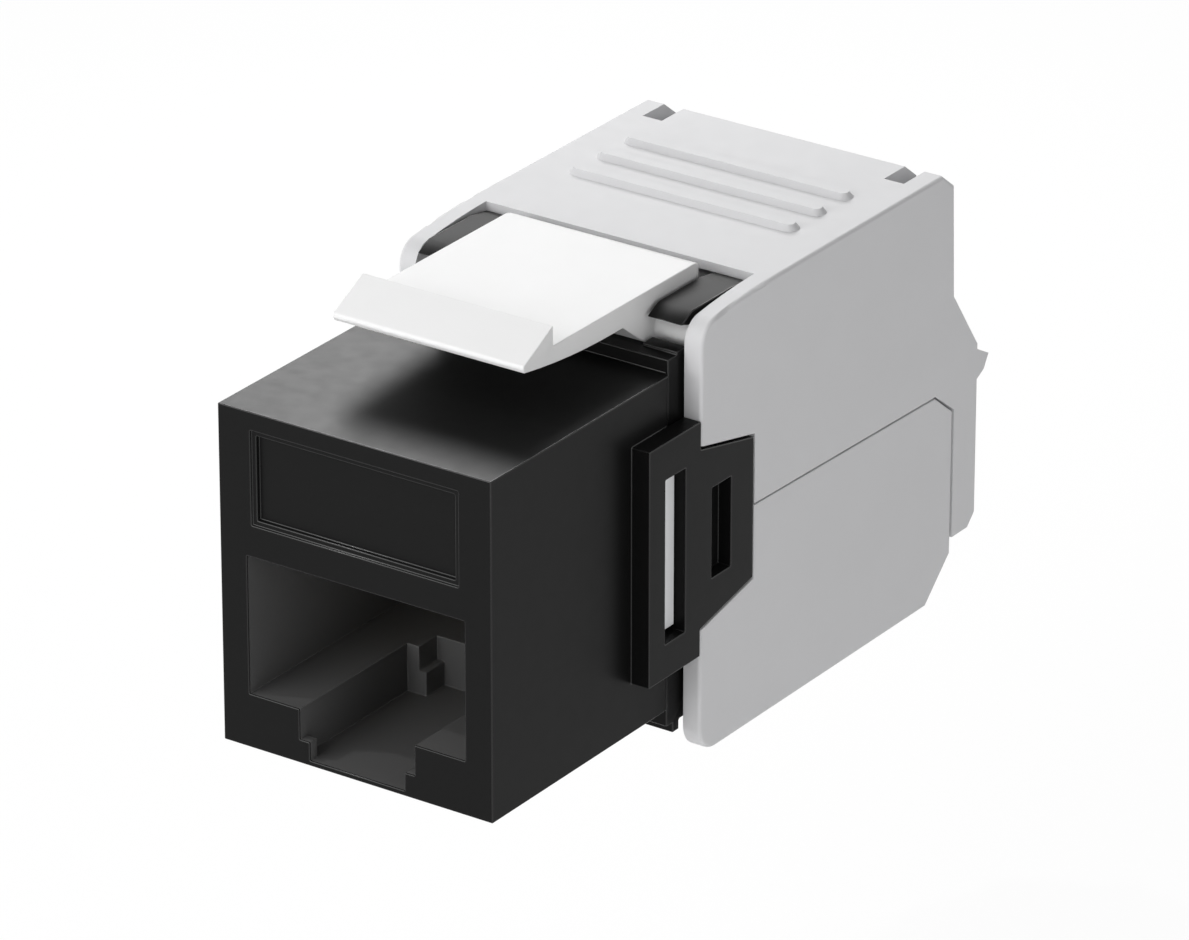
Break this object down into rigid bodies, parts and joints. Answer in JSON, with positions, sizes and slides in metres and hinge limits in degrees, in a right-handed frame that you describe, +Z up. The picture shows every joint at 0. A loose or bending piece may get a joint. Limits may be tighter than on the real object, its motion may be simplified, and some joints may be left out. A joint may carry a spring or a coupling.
{
  "type": "keystone jack",
  "caption": "Tool-less keystone jack with a modular plug port, a sprung latch lever and a two-part shell that swings open to take the cable's wires.",
  "frame": {"origin": "middle of the front face's bottom edge, where the jack meets the keystone aperture's front", "axes": "+X across the jack, +Y from the front face towards the cable, +Z up towards the latch lever"},
  "size_m": [0.0166, 0.039, 0.0231],
  "materials": {
    "black_housing": "satin moulded",
    "black_insert": "satin moulded",
    "green_board": "lacquered",
    "light_grey_carrier": "satin moulded",
    "natural_block": "satin moulded",
    "white_manager": "satin moulded",
    "grey_shell": "fine moulded texture",
    "white_lever": "satin moulded",
    "gold_contact": "gold plated",
    "tinned_terminal": "tinned"
  },
  "bodies": {
    "housing": {"front_housing": "black_housing", "contact_insert": "black_insert", "circuit_board": "green_board", "terminal_carrier": "light_grey_carrier", "terminal_block_upper": "natural_block", "terminal_block_lower": "natural_block", "wire_manager": "white_manager", "contact_spring_1": "gold_contact", "contact_spring_2": "gold_contact", "contact_spring_3": "gold_contact", "contact_spring_4": "gold_contact", "contact_spring_5": "gold_contact", "contact_spring_6": "gold_contact", "contact_spring_7": "gold_contact", "contact_spring_8": "gold_contact", "terminal_blade_1": "tinned_terminal", "terminal_blade_2": "tinned_terminal", "terminal_blade_3": "tinned_terminal", "terminal_blade_4": "tinned_terminal", "terminal_blade_5": "tinned_terminal", "terminal_blade_6": "tinned_terminal", "terminal_blade_7": "tinned_terminal", "terminal_blade_8": "tinned_terminal"},
    "upper_cover": {"upper_cover": "grey_shell"},
    "lower_cover": {"lower_cover": "grey_shell"},
    "latch_lever": {"latch_lever": "white_lever"}
  },
  "joints": [
    {"name": "upper_cover_hinge", "type": "hinge", "parent": "housing", "child": "upper_cover", "pos_m": [0, 0.0166, 0.0174], "axis": [1, 0, 0], "range_deg": [0, 80]},
    {"name": "lower_cover_hinge", "type": "hinge", "parent": "housing", "child": "lower_cover", "pos_m": [0, 0.0163, 0.0003], "axis": [1, 0, 0], "range_deg": [-80, 0]},
    {"name": "latch_lever_hinge", "type": "hinge", "parent": "housing", "child": "latch_lever", "pos_m": [0, 0.0166, 0.0174], "axis": [1, 0, 0], "range_deg": [0, 7.5], "stiffness_Nm_per_rad": 0.02}
  ],
  "couplings": [
    {"joint": "lower_cover_hinge", "follows": "upper_cover_hinge", "ratio": -1}
  ]
}
